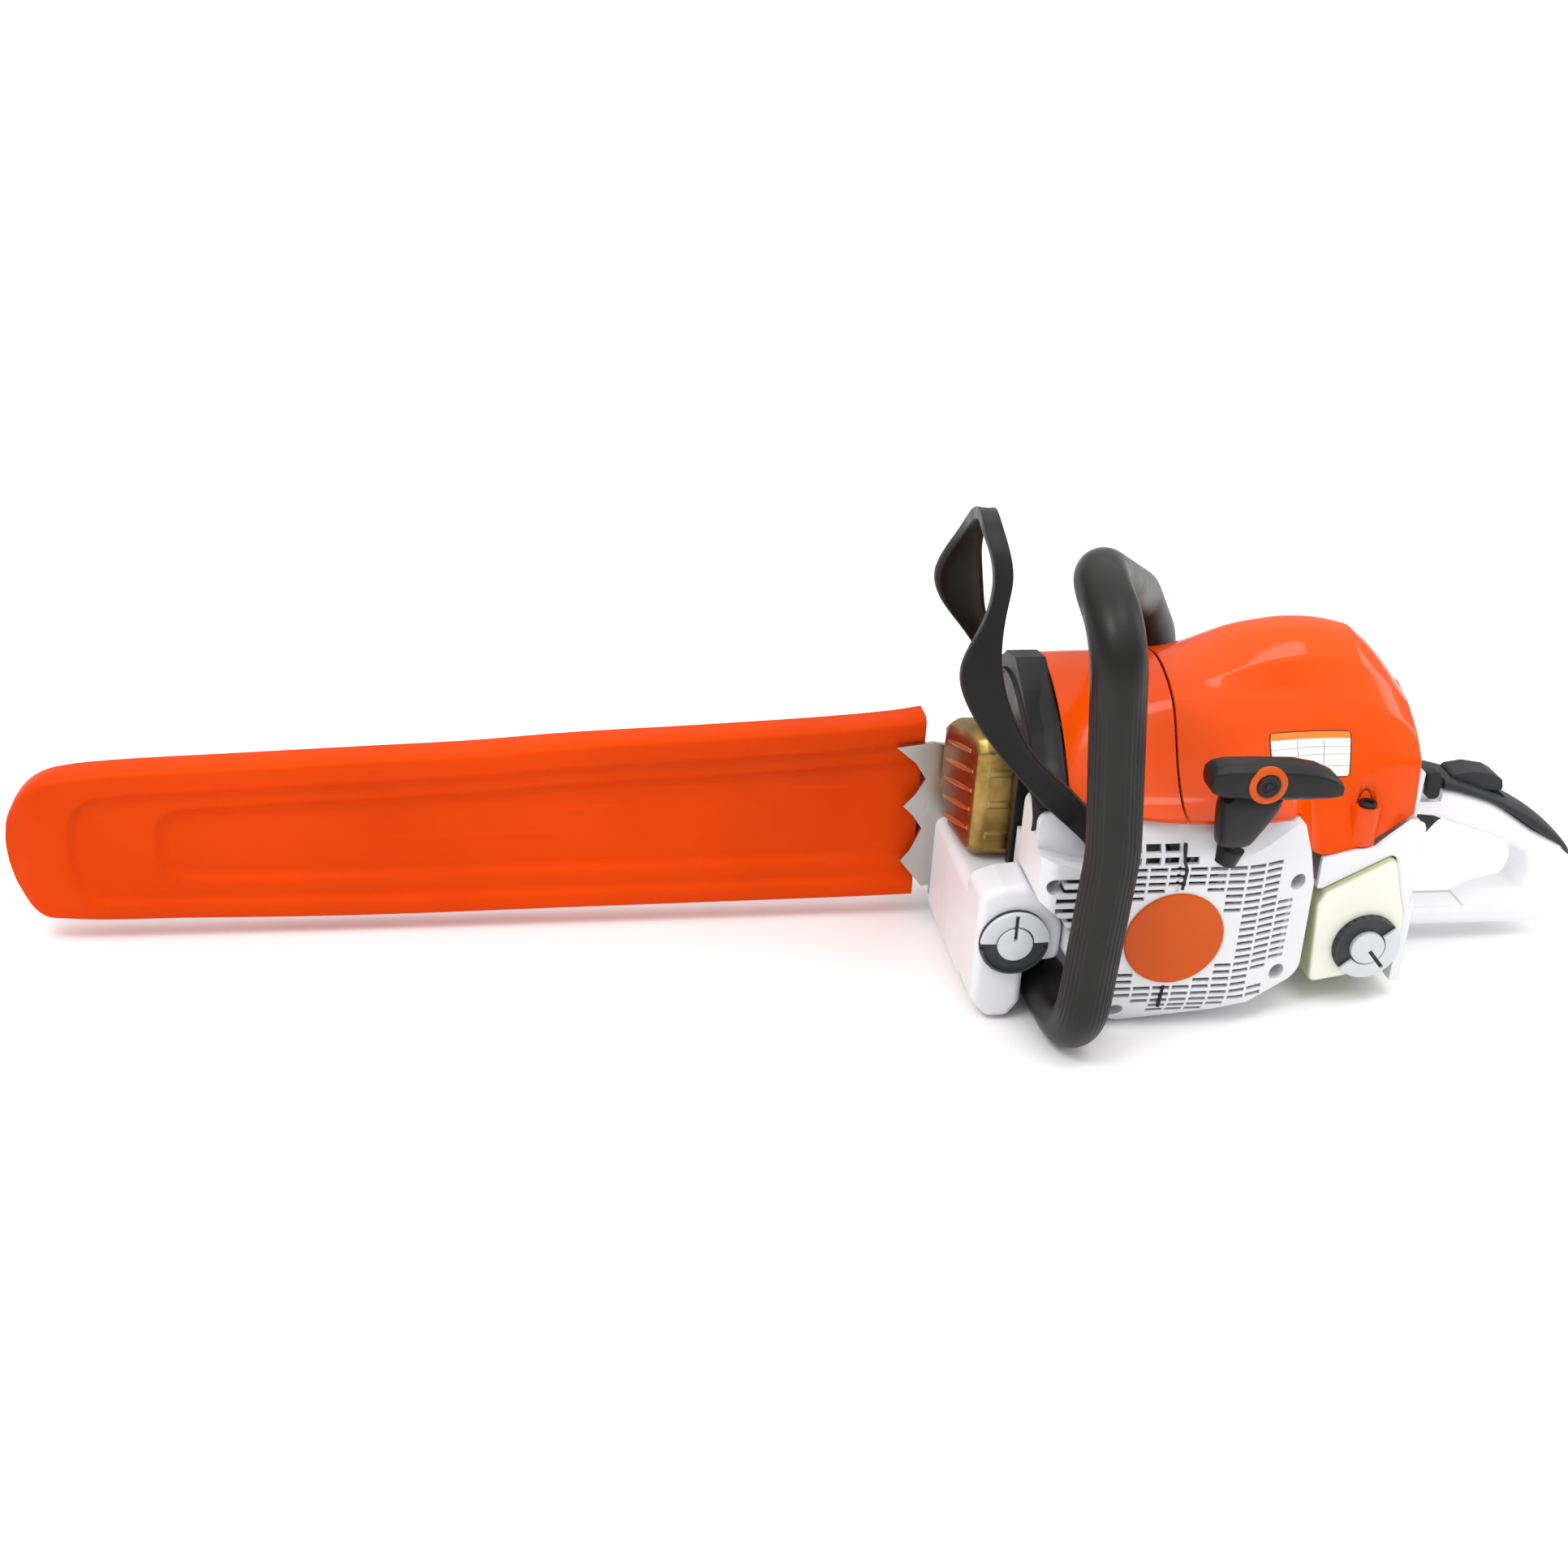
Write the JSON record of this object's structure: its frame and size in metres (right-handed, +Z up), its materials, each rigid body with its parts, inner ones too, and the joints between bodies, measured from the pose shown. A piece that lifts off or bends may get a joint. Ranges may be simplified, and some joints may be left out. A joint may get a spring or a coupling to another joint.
{
  "type": "chainsaw",
  "caption": "Petrol chainsaw with ribbed handlebar, hand guard, recoil starter and a long guide bar in an orange scabbard.",
  "frame": {"origin": "on the ground face of the crankcase, straight below the crankshaft axis", "axes": "+X to the rear handle, -X to the bar tip, -Y the recoil starter side, +Y the chain side, +Z up"},
  "size_m": [0.9825, 0.2347, 0.3053],
  "materials": {
    "case_white": "die-cast light alloy under satin white paint",
    "cover_white": "satin white moulded polymer",
    "housing_white": "smooth white polymer",
    "cover_orange": "glossy vivid orange polymer",
    "badge_orange": "plain orange disc",
    "scabbard_orange": "satin red-orange moulded polymer",
    "black_plastic": "satin black polymer",
    "grip_dark": "dark grey soft-touch polymer",
    "black_rubber": "ribbed black rubber",
    "tank_plastic": "translucent greenish white polymer",
    "cap_grey": "light grey polymer",
    "muffler_gold": "heat-tinted golden steel sheet",
    "muffler_steel": "grey steel sheet",
    "steel": "machined steel",
    "bar_steel": "ground steel",
    "chain_steel": "hardened steel",
    "dark_steel": "black oxide steel",
    "cast_alloy": "cast light alloy",
    "aluminium_tube": "drawn tube",
    "rope_fibre": "braided rope",
    "filter_fleece": "pleated fleece"
  },
  "bodies": {
    "frame": {"crankcase_left": "case_white", "crankcase_right": "case_white", "cylinder": "cast_alloy", "crank_bearings": "steel", "spark_plug": "steel", "plug_boot": "black_rubber", "ignition_module": "black_plastic", "starter_cover": "cover_white", "recoil_spring": "steel", "rope_bushing": "black_plastic", "starter_rope": "rope_fibre", "badge_disc": "badge_orange", "housing_screws": "dark_steel", "handle_tube": "aluminium_tube", "handle_grip": "black_rubber", "rear_housing": "housing_white", "rear_grip_cover": "grip_dark", "fuel_tank": "tank_plastic", "av_buffers": "black_rubber", "shroud": "cover_orange", "filter_cover": "cover_orange", "front_baffle": "black_plastic", "carburettor": "cast_alloy", "intake_boot": "black_rubber", "air_filter": "filter_fleece", "muffler_front_shell": "muffler_gold", "muffler_rear_shell": "muffler_steel", "bumper_spike": "steel", "sprocket_cover": "case_white", "bar_studs": "steel", "bar_nuts": "steel", "brake_band": "steel", "oil_pump": "cast_alloy", "chain_catcher": "cast_alloy"},
    "scabbard": {"bar_scabbard": "scabbard_orange"},
    "bar": {"guide_bar": "bar_steel", "saw_chain": "chain_steel", "tensioner_pin": "steel"},
    "nose": {"nose_sprocket": "steel"},
    "tension_screw": {"tensioner_screw": "dark_steel"},
    "trigger": {"throttle_trigger": "black_plastic"},
    "interlock": {"trigger_interlock": "black_plastic"},
    "throttle_link": {"throttle_rod": "steel"},
    "lever": {"control_lever": "black_plastic"},
    "guard": {"hand_guard": "black_plastic"},
    "fuel_cap": {"fuel_cap": "cap_grey"},
    "fuel_bail": {"fuel_cap_bail": "black_plastic"},
    "oil_cap": {"oil_cap": "cap_grey"},
    "oil_bail": {"oil_cap_bail": "black_plastic"},
    "grip": {"starter_grip": "black_rubber"},
    "pulley": {"starter_pulley": "black_plastic"},
    "crank": {"crankshaft": "steel", "flywheel": "cast_alloy", "clutch": "steel"},
    "reciprocating": {"piston": "cast_alloy", "piston_pin": "steel", "connecting_rod": "steel", "crankpin": "steel"},
    "drum": {"clutch_drum": "steel", "rim_sprocket": "steel"}
  },
  "joints": [
    {"name": "bar_slide", "type": "slide", "parent": "frame", "child": "bar", "axis": [1, 0, 0], "range_m": [0, 0.006]},
    {"name": "scabbard_slide", "type": "slide", "parent": "bar", "child": "scabbard", "axis": [-1, 0, 0], "range_m": [0, 0.54]},
    {"name": "nose_sprocket_spin", "type": "hinge", "parent": "bar", "child": "nose", "pos_m": [-0.611, 0.05, 0.066], "axis": [0, 1, 0], "continuous": true},
    {"name": "tension_screw_turn", "type": "hinge", "parent": "frame", "child": "tension_screw", "pos_m": [-0.09, 0.0415, 0.051], "axis": [1, 0, 0], "range_deg": [0, 2160]},
    {"name": "trigger_pull", "type": "hinge", "parent": "frame", "child": "trigger", "pos_m": [0.219, 0, 0.094], "axis": [0, 1, 0], "range_deg": [0, 12], "stiffness_Nm_per_rad": 0.4, "springref_deg": -11.46},
    {"name": "interlock_press", "type": "hinge", "parent": "frame", "child": "interlock", "pos_m": [0.213, 0, 0.114], "axis": [0, 1, 0], "range_deg": [0, 8], "stiffness_Nm_per_rad": 0.4, "springref_deg": -11.46},
    {"name": "throttle_rod_slide", "type": "slide", "parent": "frame", "child": "throttle_link", "axis": [1, 0, 0], "range_m": [0, 0.00105]},
    {"name": "control_lever_tilt", "type": "hinge", "parent": "frame", "child": "lever", "pos_m": [0.192, -0.0132, 0.112], "axis": [0, 1, 0], "range_deg": [-10, 10]},
    {"name": "hand_guard_tilt", "type": "hinge", "parent": "frame", "child": "guard", "pos_m": [-0.047, 0, 0.124], "axis": [0, -1, 0], "range_deg": [0, 12]},
    {"name": "fuel_cap_turn", "type": "hinge", "parent": "frame", "child": "fuel_cap", "pos_m": [0.134, -0.08, 0.041], "axis": [0, -1, 0], "range_deg": [0, 90]},
    {"name": "fuel_bail_flip", "type": "hinge", "parent": "fuel_cap", "child": "fuel_bail", "pos_m": [0.134, -0.0836, 0.041], "axis": [-0.766, 0, -0.6428], "range_deg": [0, 90]},
    {"name": "oil_cap_turn", "type": "hinge", "parent": "frame", "child": "oil_cap", "pos_m": [-0.09, -0.086, 0.056], "axis": [0, -1, 0], "range_deg": [0, 90]},
    {"name": "oil_bail_flip", "type": "hinge", "parent": "oil_cap", "child": "oil_bail", "pos_m": [-0.09, -0.0896, 0.056], "axis": [1, 0, 0], "range_deg": [0, 90]},
    {"name": "starter_pull", "type": "slide", "parent": "frame", "child": "grip", "axis": [0.2752, -0.2332, 0.9327], "range_m": [0, 0.85], "stiffness_N_per_m": 10, "springref_m": -0.5},
    {"name": "starter_pulley_spin", "type": "hinge", "parent": "frame", "child": "pulley", "pos_m": [0, -0.0915, 0.066], "axis": [0, -1, 0], "range_deg": [0, 1740]},
    {"name": "crank_spin", "type": "hinge", "parent": "frame", "child": "crank", "pos_m": [0, 0, 0.066], "axis": [0, 1, 0], "continuous": true},
    {"name": "piston_slide", "type": "slide", "parent": "frame", "child": "reciprocating", "axis": [0, 0, 1], "range_m": [-0.034, 0]},
    {"name": "drum_spin", "type": "hinge", "parent": "frame", "child": "drum", "pos_m": [0, 0.05, 0.066], "axis": [0, 1, 0], "continuous": true}
  ],
  "couplings": [
    {"joint": "tension_screw_turn", "follows": "bar_slide", "rad_per_m": 6283.2},
    {"joint": "nose_sprocket_spin", "follows": "drum_spin", "ratio": 0.63636},
    {"joint": "throttle_rod_slide", "follows": "trigger_pull", "m_per_rad": 0.005},
    {"joint": "starter_pulley_spin", "follows": "starter_pull", "rad_per_m": 35.461}
  ]
}
